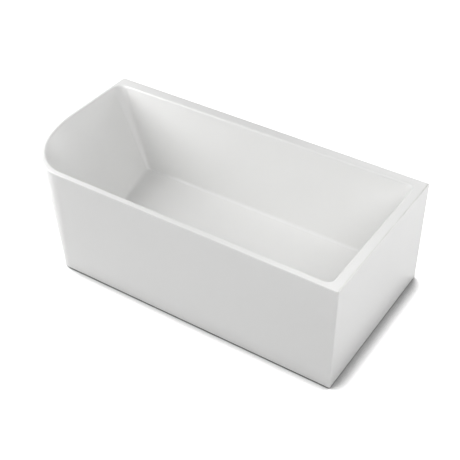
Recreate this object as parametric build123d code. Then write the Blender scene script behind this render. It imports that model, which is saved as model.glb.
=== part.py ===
from build123d import *
from math import atan2, cos, sin, sqrt
import os

# Freestanding corner bath: an acrylic basin shell bonded into a one-piece outer skirt,
# on a steel tube frame with levelling feet, with a pop-up waste and an overflow.
# Millimetres. The origin is on the floor under the middle of the rim, +X runs along the bath
# to its flat wall end, +Y to its flat wall side and +Z up. The left end leans in as a backrest.

# Overall size
overall_length = 1700.0
overall_width = 850.0
overall_height = 545.0

# Rim and deck, as widths from the outer faces to the basin
rim_front = 30.0
rim_left = 18.0
deck_right = 50.0
deck_back_at_left = 64.0
deck_back_at_right = 50.0
deck_thickness = 8.0
deck_edge_round = 4.0
end_edge_round = 2.3
basin_lip_round = 10.0
end_joint_gap = 0.4

# The large free corner at the front left, as lengths along the front and along the left end
free_corner_length = 283.0
free_corner_depth = 453.0
basin_corner_length = 262.0
basin_corner_depth = 400.0
wall_corner = 6.0
free_back_corner = 12.0
least_corner_share = 0.25
corner_fullness = 0.5523
flatness = 1e-6

# Basin
floor_height = 112.0
floor_front_inset = 75.0
floor_back_inset = 106.0
floor_right_inset = 100.0
floor_left_inset_at_back = 205.0
floor_left_inset_at_front = 365.0
floor_corner_length = 200.0
floor_corner_depth = 400.0
floor_fall = 6.0
floor_crease_round = 15.0
floor_under_round = 6.0
basin_back_left_corner = 50.0
basin_right_corner = 36.0
floor_back_left_corner = 20.0
floor_right_corner = 50.0
shell_wall = 6.0
floor_thickness = 8.0

# Outer skirt
skirt_wall = 5.0
skirt_floor_gap = 9.0
skirt_flange_thickness = 4.0
skirt_flange_width = 35.0
base_left_margin = 25.0
base_free_corner = 62.0
lip_front_width = 16.0
lip_left_width = 7.0
lip_deck_width = 20.0

# Board under the floor and battens under the deck
board_thickness = 15.0
board_setback = 15.0
board_waste_hole_radius = 46.0
batten_height = 30.0
batten_side_gap = 3.0
back_batten_setback = 150.0
end_batten_setback = 125.0

# Frame of square steel tube
tube_size = 25.0
tube_wall = 2.0
rail_side_setback = 135.0
rail_left_setback = 60.0
rail_right_setback = 90.0
cross_member_waste_setback = 130.0
bracket_thickness = 3.0
bracket_width = 40.0
bracket_skirt_gap = 2.0
bracket_foot_setback = 100.0

# Screws
screw_radius = 2.0
screw_head_flats = 8.0
screw_head_height = 3.0
screw_hole_gap = 0.1
board_screw_reach = 10.0
board_screws_per_bay = 2
bracket_screw_tip = 1.0
bracket_screw_setback = 18.0

# Levelling feet
foot_setback = 60.0
stud_radius = 6.0
stud_clearance = 0.06
stud_end_chamfer = 1.0
stud_top_room = 9.0
foot_pad_radius = 22.0
foot_pad_height = 9.0
foot_pad_edge = 2.5
foot_socket_depth = 6.0
foot_collar_height = 6.0
foot_nut_flats = 19.0
weld_nut_height = 10.0
lock_nut_height = 8.0
lock_nut_gap = 0.3
tube_stud_hole_gap = 1.0

# Waste, on the middle line of the basin floor
waste_setback = 190.0
waste_seat_depth = 4.8
waste_seat_radius = 38.0
waste_hole_radius = 25.2
upper_gasket_thickness = 1.5
waste_flange_radius = 36.0
waste_flange_thickness = 3.0
waste_flange_step = 1.0
waste_step_radius = 28.5
waste_sleeve_radius = 23.5
waste_sleeve_wall = 3.0
waste_sleeve_length = 42.0
spider_hub_radius = 7.5
spider_hub_height = 10.0
spider_drop = 12.0
spider_arm_width = 3.0
spider_arm_count = 3
lower_gasket_thickness = 3.0
gasket_bore_gap = 0.5
waste_body_flange_radius = 40.0
waste_body_flange_thickness = 5.0
waste_body_radius = 30.0
waste_body_wall = 4.0
waste_body_depth = 50.0
waste_thread_gap = 0.1
waste_thread_drop = 18.0
waste_thread_height = 14.0
drain_spigot_radius = 20.0
drain_spigot_wall = 3.0
drain_spigot_length = 26.0

# Pop-up plug
plug_travel = 9.0
plug_cap_radius = 31.0
plug_cap_edge = 3.0
plug_cap_crown = 3.0
plug_cap_gap = 1.0
plug_seal_gap = 0.3
plug_seal_inner_radius = 15.0
plug_seal_outer_radius = 27.5
plug_stem_radius = 4.0
plug_stem_clearance = 0.06
plug_stop_radius = 6.5
plug_stop_height = 4.0
plug_stop_gap = 1.0

# Overflow in the right-hand end wall
overflow_drop = 105.0
overflow_hole_radius = 22.5
overflow_sleeve_radius = 21.0
overflow_sleeve_wall = 3.0
overflow_sleeve_length = 24.0
overflow_flange_radius = 32.0
overflow_flange_thickness = 3.0
overflow_gasket_thickness = 3.0
overflow_body_flange_radius = 36.0
overflow_body_radius = 27.0
overflow_thread_gap = 0.3
overflow_body_depth = 31.0
overflow_body_wall = 3.0
overflow_port_setback = 16.0
overflow_cover_wall = 2.5
overflow_cover_height = 11.0
overflow_cover_gap = 0.1
overflow_cover_lift = 1.0
overflow_slot_width = 7.0
overflow_slot_depth = 4.0
overflow_slot_count = 8

# Overflow hose
port_radius = 14.0
port_wall = 3.0
port_length = 24.0
side_port_reach = 50.0
side_port_under_board = 19.0
hose_wall = 2.8
hose_fit_gap = 0.2
hose_bend_radius = 60.0
hose_clip_width = 8.0
hose_clip_thickness = 1.5
hose_overlap = 14.0
hose_clip_gap = 0.2

# Places that follow from the sizes
left_x = -overall_length / 2
right_x = overall_length / 2
front_y = -overall_width / 2
back_y = overall_width / 2
deck_bottom_z = overall_height - deck_thickness
basin_depth = overall_height - floor_height
floor_low_z = floor_height
floor_under_z = floor_low_z - floor_thickness
board_bottom_z = floor_under_z - board_thickness
frame_top_z = board_bottom_z
frame_bottom_z = frame_top_z - tube_size
flange_top_z = skirt_floor_gap + skirt_flange_thickness
screw_hole_radius = screw_radius + screw_hole_gap
batten_width = deck_right - shell_wall - lip_deck_width - 2 * batten_side_gap

# Base of the skirt, and the frame that stands inside it
base_left_inset = floor_left_inset_at_back + base_left_margin
base_left_x = left_x + base_left_inset
rail_y = overall_width / 2 - rail_side_setback
rail_left_end = base_left_x + rail_left_setback
rail_right_end = right_x - rail_right_setback
left_foot_x = rail_left_end + foot_setback
right_foot_x = rail_right_end - foot_setback
middle_foot_x = (left_foot_x + right_foot_x) / 2
foot_places = (left_foot_x, middle_foot_x, right_foot_x)
foot_spots = [(x, side * rail_y) for x in foot_places for side in (-1, 1)]
bracket_places = (
    left_foot_x + bracket_foot_setback,
    middle_foot_x + bracket_foot_setback,
    right_foot_x - bracket_foot_setback,
)
board_screw_places = [
    start + (end - start) * number / (board_screws_per_bay + 1)
    for start, end in zip(foot_places, foot_places[1:])
    for number in range(1, board_screws_per_bay + 1)
]
board_screw_spots = [(x, side * rail_y) for x in board_screw_places for side in (-1, 1)]

# Middle line of the basin floor, with the waste near its right-hand end
floor_right_x = right_x - floor_right_inset
waste_place = floor_right_x - waste_setback
drain_line = (front_y + floor_front_inset + back_y - floor_back_inset) / 2
waste_spot = (waste_place, drain_line)
cross_member_places = (left_foot_x, middle_foot_x, waste_place - cross_member_waste_setback)

# Slope of the right-hand basin wall, where the overflow sits
end_wall_run = floor_right_inset - deck_right
end_wall_tilt = atan2(end_wall_run, basin_depth)
overflow_z = overall_height - overflow_drop
overflow_x = right_x - deck_right - end_wall_run * overflow_drop / basin_depth
overflow_plane = Plane(
    origin=(overflow_x, drain_line, overflow_z),
    x_dir=(0, 1, 0),
    z_dir=(-cos(end_wall_tilt), 0, sin(end_wall_tilt)),
)
end_wall_thickness = shell_wall * cos(end_wall_tilt)
overflow_body_top = -end_wall_thickness - overflow_gasket_thickness

# Fall of the floor towards the right-hand end
floor_slope = floor_fall / (floor_right_x - left_x - floor_left_inset_at_back)

# Waste heights, from the floor's seat downwards
waste_seat_z = floor_low_z + floor_slope * (floor_right_x - waste_place) - waste_seat_depth
waste_flange_z = waste_seat_z + upper_gasket_thickness
waste_flange_top_z = waste_flange_z + waste_flange_thickness
waste_step_z = waste_flange_top_z - waste_flange_step
spider_top_z = waste_flange_z - spider_drop
spider_bottom_z = spider_top_z - spider_hub_height
waste_body_top_z = floor_under_z - lower_gasket_thickness
waste_body_bottom_z = waste_body_top_z - waste_body_depth
side_port_z = board_bottom_z - side_port_under_board
port_x = overflow_x + (overflow_port_setback - overflow_body_top) * cos(end_wall_tilt)
hose_inner_radius = port_radius + hose_fit_gap
hose_outer_radius = hose_inner_radius + hose_wall
side_port_end_x = waste_place + side_port_reach
overflow_port_end_z = overflow_z - overflow_body_flange_radius - port_length


def unit(vector):
    """The vector's direction, one millimetre long."""
    return vector.normalized()


def rounded_outline(z, corners, reaches, slope=0.0):
    """Edges of a closed outline of straight sides joined by curves, which start and end at the
    reach given before and after each corner. It lies at height z, or rises by slope to the left."""
    points = [Vector(x, y, z - slope * x) for x, y in corners]
    curves = []
    for index, corner in enumerate(points):
        before, after = reaches[index]
        start = corner + unit(points[index - 1] - corner) * before
        end = corner + unit(points[(index + 1) % len(points)] - corner) * after
        start_handle = start + (corner - start) * corner_fullness
        end_handle = end + (corner - end) * corner_fullness
        curves.append((start, start_handle, end_handle, end))
    edges = []
    for index, curve in enumerate(curves):
        edges.append(Line(curves[index - 1][-1], curve[0]).edge())
        if (curve[0] - curve[-1]).length > 0:
            edges.append(Bezier(*curve).edge())
    return edges


def outline_face(edges):
    return Face(Wire(edges))


def side_face(low, high):
    """Face between two edges: a plane where both are straight and share one, ruled elsewhere."""
    points = [low @ 0, low @ 1, high @ 1, high @ 0]
    normal = unit((points[1] - points[0]).cross(points[2] - points[0]))
    straight = low.geom_type == GeomType.LINE and high.geom_type == GeomType.LINE
    if straight and abs((points[3] - points[0]).dot(normal)) < flatness:
        return Face(Wire.make_polygon(points))
    return Face.make_surface_from_curves(low, high)


def ruled_body(lower, upper):
    """Solid between two outlines that have the same sides in the same order."""
    sides = [side_face(low, high) for low, high in zip(lower, upper)]
    return Solid(Shell([outline_face(lower), outline_face(upper)] + sides))


def deck_outline(z):
    """Outline of the deck, square where it meets the skirt's upstand at the right-hand end."""
    end_x = right_x - skirt_wall - end_joint_gap
    corners = [(left_x, front_y), (end_x, front_y), (end_x, back_y), (left_x, back_y)]
    reaches = [
        (free_corner_depth, free_corner_length),
        (0, 0),
        (0, 0),
        (free_back_corner, free_back_corner),
    ]
    return rounded_outline(z, corners, reaches)


def body_outline(z, left_inset, free_length, free_depth, inset=0.0):
    """Outline of the outside of the bath at height z, drawn in by inset on every side."""
    corners = [
        (left_x + left_inset + inset, front_y + inset),
        (right_x - inset, front_y + inset),
        (right_x - inset, back_y - inset),
        (left_x + left_inset + inset, back_y - inset),
    ]
    wall = max(wall_corner - inset, wall_corner * least_corner_share)
    back = max(free_back_corner - inset, free_back_corner * least_corner_share)
    reaches = [
        (free_depth - inset, free_length - inset),
        (wall, wall),
        (wall, wall),
        (back, back),
    ]
    return rounded_outline(z, corners, reaches)


def basin_rim_outline(z, grow):
    """Outline of the basin at the rim, grown outwards by the wall thickness."""
    corners = [
        (left_x + rim_left - grow, front_y + rim_front - grow),
        (right_x - deck_right + grow, front_y + rim_front - grow),
        (right_x - deck_right + grow, back_y - deck_back_at_right + grow),
        (left_x + rim_left - grow, back_y - deck_back_at_left + grow),
    ]
    reaches = [
        (basin_corner_depth + grow, basin_corner_length + grow),
        (basin_right_corner + grow, basin_right_corner + grow),
        (basin_right_corner + grow, basin_right_corner + grow),
        (basin_back_left_corner + grow, basin_back_left_corner + grow),
    ]
    return rounded_outline(z, corners, reaches)


def basin_floor_outline(z, grow, slope=0.0):
    """Outline of the basin at its floor; its left side is slanted and leads into the free corner."""
    corners = [
        (left_x + floor_left_inset_at_front - grow, front_y + floor_front_inset - grow),
        (right_x - floor_right_inset + grow, front_y + floor_front_inset - grow),
        (right_x - floor_right_inset + grow, back_y - floor_back_inset + grow),
        (left_x + floor_left_inset_at_back - grow, back_y - floor_back_inset + grow),
    ]
    reaches = [
        (floor_corner_depth + grow, floor_corner_length + grow),
        (floor_right_corner + grow, floor_right_corner + grow),
        (floor_right_corner + grow, floor_right_corner + grow),
        (floor_back_left_corner + grow, floor_back_left_corner + grow),
    ]
    return rounded_outline(z, corners, reaches, slope)


def disc(radius, low, high, x=0.0, y=0.0):
    return Pos(x, y, low) * extrude(Circle(radius), high - low)


def ring(inner, outer, low, high, x=0.0, y=0.0):
    return Pos(x, y, low) * extrude(Circle(outer) - Circle(inner), high - low)


def block(low, high):
    """Box between two opposite corners."""
    size = [b - a for a, b in zip(low, high)]
    return Pos(*low) * Box(*size, align=(Align.MIN, Align.MIN, Align.MIN))


def basin_cavity():
    """The water space: a ruled hollow from the rim down to a floor that falls to the waste end."""
    rim = basin_rim_outline(overall_height, 0.0)
    floor = basin_floor_outline(floor_low_z + floor_slope * floor_right_x, 0.0, floor_slope)
    hollow = ruled_body(floor, rim)
    return fillet(hollow.faces().sort_by(Axis.Z)[0].edges(), floor_crease_round)


def deck_slab():
    """The flat rim and deck, with its upper edge rounded."""
    slab = extrude(outline_face(deck_outline(deck_bottom_z)), deck_thickness)
    top = slab.faces().sort_by(Axis.Z)[-1]
    end_edge = top.edges().sort_by(Axis.X)[-1]
    slab = fillet(end_edge, end_edge_round)
    top = slab.faces().sort_by(Axis.Z)[-1]
    end_edge = top.edges().sort_by(Axis.X)[-1]
    side_edges = [e for e in top.edges() if e.center().X < end_edge.center().X - deck_edge_round]
    return fillet(side_edges, deck_edge_round)


def bath_shell():
    """Acrylic basin, rim and deck in one moulding, with its waste and overflow holes."""
    floor = basin_floor_outline(floor_low_z, shell_wall)
    outside = ruled_body(floor, basin_rim_outline(overall_height, shell_wall))
    outside += extrude(outline_face(floor), -floor_thickness)
    outside = fillet(outside.faces().sort_by(Axis.Z)[0].edges(), floor_under_round)
    shell = deck_slab() + outside - basin_cavity()
    deck_top = shell.faces().sort_by(Axis.Z)[-1]
    shell = fillet(deck_top.inner_wires()[0].edges(), basin_lip_round)
    shell -= disc(waste_seat_radius, waste_seat_z, overall_height, *waste_spot)
    shell -= disc(waste_hole_radius, 0.0, overall_height, *waste_spot)
    shell -= overflow_plane * disc(overflow_hole_radius, -2 * shell_wall, shell_wall)
    return shell


def outer_skirt():
    """Outer moulding: a thin wall from the rim down to the tighter base, with return flanges."""
    rim_shape = (0.0, free_corner_length, free_corner_depth)
    base_shape = (base_left_inset, base_free_corner, base_free_corner)
    outside = ruled_body(
        body_outline(skirt_floor_gap, *base_shape),
        body_outline(deck_bottom_z, *rim_shape),
    )
    room = ruled_body(
        body_outline(skirt_floor_gap, *base_shape, skirt_wall),
        body_outline(deck_bottom_z, *rim_shape, skirt_wall),
    )
    room = room & block(
        (left_x, front_y, flange_top_z),
        (right_x, back_y, deck_bottom_z - skirt_flange_thickness),
    )
    base_opening = outline_face(body_outline(skirt_floor_gap, *base_shape, skirt_flange_width))
    skirt = outside - room - extrude(base_opening, skirt_flange_thickness)
    skirt -= top_opening()
    upstand = block((right_x - skirt_wall, front_y, deck_bottom_z), (right_x, back_y, overall_height))
    top_edges = upstand.faces().sort_by(Axis.Z)[-1].edges().filter_by(Axis.Y)
    upstand = fillet(top_edges, end_edge_round)
    rim = outline_face(body_outline(deck_bottom_z, *rim_shape))
    return skirt + (upstand & extrude(rim, deck_thickness))


def skirt_with_screw_holes():
    """The skirt, drilled through its bottom flange for the brackets' screws."""
    skirt = outer_skirt()
    for name, place, reach in bracket_spots():
        skirt -= place * disc(screw_hole_radius, 0.0, flange_top_z, reach - bracket_screw_setback)
    return skirt


def top_opening():
    """Hole in the skirt's top return that the basin hangs through."""
    corners = [
        (left_x + lip_left_width, front_y + lip_front_width),
        (right_x - lip_deck_width, front_y + lip_front_width),
        (right_x - lip_deck_width, back_y - lip_deck_width),
        (left_x + lip_left_width, back_y - lip_deck_width),
    ]
    reaches = [
        (free_corner_depth - lip_front_width, free_corner_length - lip_left_width),
        (basin_right_corner, basin_right_corner),
        (basin_right_corner, basin_right_corner),
        (free_back_corner, free_back_corner),
    ]
    edges = rounded_outline(deck_bottom_z - skirt_flange_thickness, corners, reaches)
    return extrude(outline_face(edges), skirt_flange_thickness)


def base_board():
    """Board bonded under the floor, following the floor's outline, cut out round the waste."""
    face = outline_face(basin_floor_outline(board_bottom_z, -board_setback))
    board = extrude(face, board_thickness)
    board -= disc(board_waste_hole_radius, 0.0, overall_height, *waste_spot)
    for x, y in board_screw_spots:
        board -= disc(screw_hole_radius, board_bottom_z, board_bottom_z + board_screw_reach, x, y)
    return board


def back_rim_batten():
    """Stiffening strip under the back deck, along the skirt's top return."""
    high_y = back_y - lip_deck_width - batten_side_gap
    return block(
        (left_x + back_batten_setback, high_y - batten_width, deck_bottom_z - batten_height),
        (right_x - back_batten_setback, high_y, deck_bottom_z),
    )


def end_rim_batten():
    """Stiffening strip under the right-hand deck."""
    high_x = right_x - lip_deck_width - batten_side_gap
    return block(
        (high_x - batten_width, front_y + end_batten_setback, deck_bottom_z - batten_height),
        (high_x, back_y - end_batten_setback, deck_bottom_z),
    )


def rail(side):
    """Long frame tube, drilled for the foot studs below and right through for the board screws."""
    y = side * rail_y
    half = tube_size / 2
    inner = half - tube_wall
    tube = block((rail_left_end, y - half, frame_bottom_z), (rail_right_end, y + half, frame_top_z))
    tube -= block(
        (rail_left_end, y - inner, frame_bottom_z + tube_wall),
        (rail_right_end, y + inner, frame_top_z - tube_wall),
    )
    for x in foot_places:
        tube -= disc(stud_radius + tube_stud_hole_gap, frame_bottom_z, frame_bottom_z + half, x, y)
    for x in board_screw_places:
        tube -= disc(screw_hole_radius, frame_bottom_z, frame_top_z, x, y)
    return tube


def cross_member(x):
    half = tube_size / 2
    inner = half - tube_wall
    end_y = rail_y - half
    tube = block((x - half, -end_y, frame_bottom_z), (x + half, end_y, frame_top_z))
    return tube - block(
        (x - inner, -end_y, frame_bottom_z + tube_wall), (x + inner, end_y, frame_top_z - tube_wall)
    )


def skirt_bracket(reach):
    """Angle strip at the origin: its upright leg is welded to the frame at x = 0 and its foot
    runs out along +X over the skirt's bottom flange."""
    half = bracket_width / 2
    upright = block((0, -half, flange_top_z), (bracket_thickness, half, frame_top_z))
    foot = block((0, -half, flange_top_z), (reach, half, flange_top_z + bracket_thickness))
    bracket = upright + foot
    inner_bend = [
        e for e in bracket.edges().filter_by(Axis.Y)
        if abs(e.center().X - bracket_thickness) < flatness
        and abs(e.center().Z - flange_top_z - bracket_thickness) < flatness
    ]
    bracket = fillet(inner_bend, bracket_thickness)
    return bracket - disc(screw_hole_radius, 0.0, frame_top_z, reach - bracket_screw_setback)


def hex_head(seat_z, height, x=0.0, y=0.0):
    head = RegularPolygon(screw_head_flats / 2, 6, major_radius=False)
    return Pos(x, y, seat_z) * extrude(head, height)


def bracket_screw(reach):
    """Screw that holds a bracket's foot to the skirt's bottom flange."""
    seat_z = flange_top_z + bracket_thickness
    x = reach - bracket_screw_setback
    shank = disc(screw_radius, skirt_floor_gap - bracket_screw_tip, seat_z, x)
    return hex_head(seat_z, screw_head_height, x) + shank


def bracket_spots():
    """Each bracket's name, place and reach."""
    side_y = rail_y + tube_size / 2
    side_reach = back_y - skirt_wall - bracket_skirt_gap - side_y
    spots = []
    for number, x in enumerate(bracket_places, 1):
        spots.append((f"skirt_bracket_front_{number}", Pos(x, -side_y, 0) * Rot(0, 0, -90), side_reach))
        spots.append((f"skirt_bracket_back_{number}", Pos(x, side_y, 0) * Rot(0, 0, 90), side_reach))
    right_reach = right_x - skirt_wall - bracket_skirt_gap - rail_right_end
    left_reach = rail_left_end - base_left_x - skirt_wall - bracket_skirt_gap
    for number, side in enumerate((-1, 1), 1):
        y = side * rail_y
        spots.append((f"skirt_bracket_right_{number}", Pos(rail_right_end, y, 0), right_reach))
        spots.append((f"skirt_bracket_left_{number}", Pos(rail_left_end, y, 0) * Rot(0, 0, 180), left_reach))
    return spots


def board_screws():
    """Screws from below, through the rails and up into the board."""
    screws = []
    for x, y in board_screw_spots:
        shank = disc(screw_radius, frame_bottom_z, board_bottom_z + board_screw_reach, x, y)
        screws.append(hex_head(frame_bottom_z, -screw_head_height, x, y) + shank)
    return screws


def hex_nut(low, height, x, y):
    nut = extrude(RegularPolygon(foot_nut_flats / 2, 6, major_radius=False), height)
    return Pos(x, y, low) * nut - disc(stud_radius + stud_clearance, low, low + height, x, y)


def foot_stud(x, y):
    top = frame_top_z - stud_top_room
    bottom = foot_pad_height + foot_collar_height - foot_socket_depth
    stud = disc(stud_radius, bottom, top, x, y)
    return chamfer(stud.edges().sort_by(Axis.Z)[-1], stud_end_chamfer)


def foot_pad(x, y):
    """Round foot with a bevelled edge and a hexagonal collar that holds the stud."""
    pad = disc(foot_pad_radius, 0.0, foot_pad_height, x, y)
    pad = chamfer(pad.edges().sort_by(Axis.Z)[-1], foot_pad_edge)
    collar = extrude(RegularPolygon(foot_nut_flats / 2, 6, major_radius=False), foot_collar_height)
    collar_top = foot_pad_height + foot_collar_height
    pad = pad + Pos(x, y, foot_pad_height) * collar
    return pad - disc(stud_radius, collar_top - foot_socket_depth, collar_top, x, y)


def waste_flange():
    """Chromed flange, threaded sleeve and the spider that guides the plug's stem."""
    outline = Polyline(
        (waste_sleeve_radius - waste_sleeve_wall, waste_flange_z - waste_sleeve_length),
        (waste_sleeve_radius, waste_flange_z - waste_sleeve_length),
        (waste_sleeve_radius, waste_flange_z),
        (waste_flange_radius, waste_flange_z),
        (waste_flange_radius, waste_flange_top_z - waste_flange_step),
        (waste_flange_radius - waste_flange_step, waste_flange_top_z),
        (waste_step_radius, waste_flange_top_z),
        (waste_step_radius, waste_step_z),
        (waste_sleeve_radius - waste_sleeve_wall, waste_step_z),
        close=True,
    )
    profile = Plane.XZ * make_face(outline)
    body = Pos(*waste_spot, 0) * revolve(profile, Axis.Z)
    hub = disc(spider_hub_radius, spider_bottom_z, spider_top_z, *waste_spot)
    arm = block(
        (0, -spider_arm_width / 2, spider_bottom_z),
        (waste_sleeve_radius - waste_sleeve_wall / 2, spider_arm_width / 2, spider_top_z),
    )
    spider = hub
    for number in range(spider_arm_count):
        spider = spider + Pos(*waste_spot, 0) * Rot(0, 0, 360 / spider_arm_count * number) * arm
    spider -= disc(plug_stem_radius + plug_stem_clearance, 0.0, overall_height, *waste_spot)
    return body + spider


def upper_waste_gasket():
    return ring(
        waste_sleeve_radius + gasket_bore_gap, waste_flange_radius - waste_flange_step,
        waste_seat_z, waste_flange_z, *waste_spot,
    )


def lower_waste_gasket():
    return ring(
        waste_sleeve_radius + gasket_bore_gap, waste_body_flange_radius,
        waste_body_top_z, floor_under_z, *waste_spot,
    )


def waste_body():
    """Cup under the floor with the drain spigot below and the overflow port at its side."""
    inner = waste_body_radius - waste_body_wall
    flange_bottom = waste_body_top_z - waste_body_flange_thickness
    body = disc(waste_body_radius, waste_body_bottom_z, waste_body_top_z, *waste_spot)
    body += disc(waste_body_flange_radius, flange_bottom, waste_body_top_z, *waste_spot)
    spigot_bottom = waste_body_bottom_z - drain_spigot_length
    body += disc(drain_spigot_radius, spigot_bottom, waste_body_bottom_z, *waste_spot)
    port = Rot(0, 90, 0) * extrude(Circle(port_radius), side_port_reach)
    port_bore = Rot(0, 90, 0) * extrude(Circle(port_radius - port_wall), side_port_reach)
    side_place = Pos(*waste_spot, side_port_z)
    body += side_place * port
    body -= side_place * port_bore
    body -= disc(inner, waste_body_bottom_z + waste_body_wall, waste_body_top_z, *waste_spot)
    body -= disc(drain_spigot_radius - drain_spigot_wall, spigot_bottom, waste_body_top_z, *waste_spot)
    thread_top = waste_body_top_z - waste_thread_drop
    thread = ring(
        waste_sleeve_radius + waste_thread_gap, inner,
        thread_top - waste_thread_height, thread_top, *waste_spot,
    )
    return body + thread


def plug_heights():
    """Underside of the plug's seal and of its cap, closed."""
    seal_low = waste_step_z + plug_seal_gap
    cap_low = waste_flange_top_z + plug_cap_gap
    return seal_low, cap_low


def plug_cap():
    """Low domed cap of the pop-up plug."""
    cap_low = plug_heights()[1]
    edge_z = cap_low + plug_cap_edge
    crown_z = edge_z + plug_cap_crown
    sketch = Plane.XZ * make_face([
        Line((0, cap_low), (plug_cap_radius, cap_low)),
        Line((plug_cap_radius, cap_low), (plug_cap_radius, edge_z)),
        TangentArc((0, crown_z), (plug_cap_radius, edge_z), tangent=(1, 0)),
        Line((0, crown_z), (0, cap_low)),
    ])
    return Pos(*waste_spot, 0) * revolve(sketch, Axis.Z)


def plug_seal():
    seal_low, cap_low = plug_heights()
    return ring(plug_seal_inner_radius, plug_seal_outer_radius, seal_low, cap_low, *waste_spot)


def plug_stem():
    """Stem that runs in the spider, with the stop that ends the plug's travel."""
    cap_low = plug_heights()[1]
    stop_top = spider_bottom_z - plug_travel - plug_stop_gap
    stem = disc(plug_stem_radius, stop_top - plug_stop_height, cap_low, *waste_spot)
    stem += disc(plug_stop_radius, stop_top - plug_stop_height, stop_top, *waste_spot)
    shoulder_low = spider_top_z + plug_stop_gap
    return stem + disc(plug_stop_radius, shoulder_low, cap_low, *waste_spot)


def overflow_ring():
    sleeve = ring(
        overflow_sleeve_radius - overflow_sleeve_wall, overflow_sleeve_radius,
        overflow_flange_thickness - overflow_sleeve_length, overflow_flange_thickness,
    )
    flange = ring(
        overflow_sleeve_radius - overflow_sleeve_wall, overflow_flange_radius, 0.0, overflow_flange_thickness
    )
    return overflow_plane * (sleeve + flange)


def overflow_cover():
    """Cap over the overflow ring, with slots round its edge for the water."""
    inner = overflow_flange_radius + overflow_cover_gap
    outer = inner + overflow_cover_wall
    cover = disc(outer, overflow_cover_lift, overflow_cover_height)
    cover = fillet(cover.edges().sort_by(Axis.Z)[-1], overflow_cover_wall)
    cover -= disc(inner, overflow_cover_lift, overflow_cover_height - overflow_cover_wall)
    slot_low = overflow_cover_height - overflow_cover_wall - overflow_slot_depth
    slot = block(
        (0, -overflow_slot_width / 2, slot_low),
        (2 * outer, overflow_slot_width / 2, slot_low + overflow_slot_depth),
    )
    for number in range(overflow_slot_count):
        cover -= Rot(0, 0, 360 / overflow_slot_count * number) * slot
    return overflow_plane * cover


def overflow_gasket():
    high = -end_wall_thickness
    return overflow_plane * ring(
        overflow_hole_radius, overflow_body_flange_radius, high - overflow_gasket_thickness, high
    )


def overflow_body():
    """Cup behind the wall with a port that points down to the hose."""
    top = overflow_body_top
    bottom = top - overflow_body_depth
    cup = disc(overflow_body_radius, bottom, top)
    cup += disc(overflow_body_flange_radius, top - overflow_flange_thickness, top)
    cup = overflow_plane * cup
    cup += disc(port_radius, overflow_port_end_z, overflow_z, port_x, drain_line)
    bore = disc(overflow_sleeve_radius + overflow_thread_gap, bottom + overflow_body_wall, top)
    cup -= overflow_plane * bore
    return cup - disc(port_radius - port_wall, overflow_port_end_z, overflow_z, port_x, drain_line)


def hose_route(start_x, end_z):
    """Level run from the waste, one bend, and an upright run to the overflow."""
    bend_start = (port_x - hose_bend_radius, drain_line, side_port_z)
    bend_end = (port_x, drain_line, side_port_z + hose_bend_radius)
    reach = hose_bend_radius * (1 - sqrt(0.5))
    bend_middle = (port_x - reach, drain_line, side_port_z + reach)
    level = Line((start_x, drain_line, side_port_z), bend_start)
    bend = ThreePointArc(bend_start, bend_middle, bend_end)
    upright = Line(bend_end, (port_x, drain_line, end_z))
    return Wire([level, bend, upright])


def overflow_hose():
    start_x = side_port_end_x - hose_overlap
    route = hose_route(start_x, overflow_port_end_z + hose_overlap)
    section = Plane(origin=(start_x, drain_line, side_port_z), z_dir=(1, 0, 0))
    outside = sweep(section * Circle(hose_outer_radius), path=route)
    inside = sweep(section * Circle(hose_inner_radius), path=route)
    return outside - inside


def hose_clips():
    """One band clip round each end of the hose."""
    inner = hose_outer_radius + hose_clip_gap
    band = Circle(inner + hose_clip_thickness) - Circle(inner)
    lower = Plane(origin=(side_port_end_x - hose_overlap / 2, drain_line, side_port_z), z_dir=(1, 0, 0))
    upper = Plane(origin=(port_x, drain_line, overflow_port_end_z + hose_overlap / 2), z_dir=(0, 0, 1))
    return [
        extrude(place * band, hose_clip_width / 2, both=True) for place in (lower, upper)
    ]


def save(name, shape):
    """Write one node; a list of shapes becomes a group of separate solids."""
    if isinstance(shape, list):
        shape = Compound(children=[Compound(s.solids()) for s in shape])
    export_step(shape, os.path.join("parts", name + ".step"))


def main():
    os.makedirs("parts", exist_ok=True)
    save("bath_shell", bath_shell())
    save("outer_skirt", skirt_with_screw_holes())
    save("base_board", base_board())
    save("back_rim_batten", back_rim_batten())
    save("end_rim_batten", end_rim_batten())
    save("front_rail", rail(-1))
    save("back_rail", rail(1))
    for number, x in enumerate(cross_member_places, 1):
        save(f"cross_member_{number}", cross_member(x))
    spots = bracket_spots()
    for name, place, reach in spots:
        save(name, place * skirt_bracket(reach))
    save("bracket_screws", [place * bracket_screw(reach) for name, place, reach in spots])
    save("board_screws", board_screws())
    weld_low = frame_bottom_z - weld_nut_height
    lock_low = weld_low - lock_nut_gap - lock_nut_height
    save("foot_weld_nuts", [hex_nut(weld_low, weld_nut_height, x, y) for x, y in foot_spots])
    save("foot_lock_nuts", [hex_nut(lock_low, lock_nut_height, x, y) for x, y in foot_spots])
    for number, (x, y) in enumerate(foot_spots, 1):
        save(f"foot_stud_{number}", foot_stud(x, y))
        save(f"foot_pad_{number}", foot_pad(x, y))
    save("waste_flange", waste_flange())
    save("upper_waste_gasket", upper_waste_gasket())
    save("lower_waste_gasket", lower_waste_gasket())
    save("waste_body", waste_body())
    save("plug_cap", plug_cap())
    save("plug_seal", plug_seal())
    save("plug_stem", plug_stem())
    save("overflow_ring", overflow_ring())
    save("overflow_cover", overflow_cover())
    save("overflow_gasket", overflow_gasket())
    save("overflow_body", overflow_body())
    save("overflow_hose", overflow_hose())
    save("hose_clips", hose_clips())


if __name__ == "__main__":
    main()
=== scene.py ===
import math

import bmesh
import bpy
from bpy.props import FloatProperty, FloatVectorProperty, IntProperty, PointerProperty
from mathutils import Euler, Matrix, Vector


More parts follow.
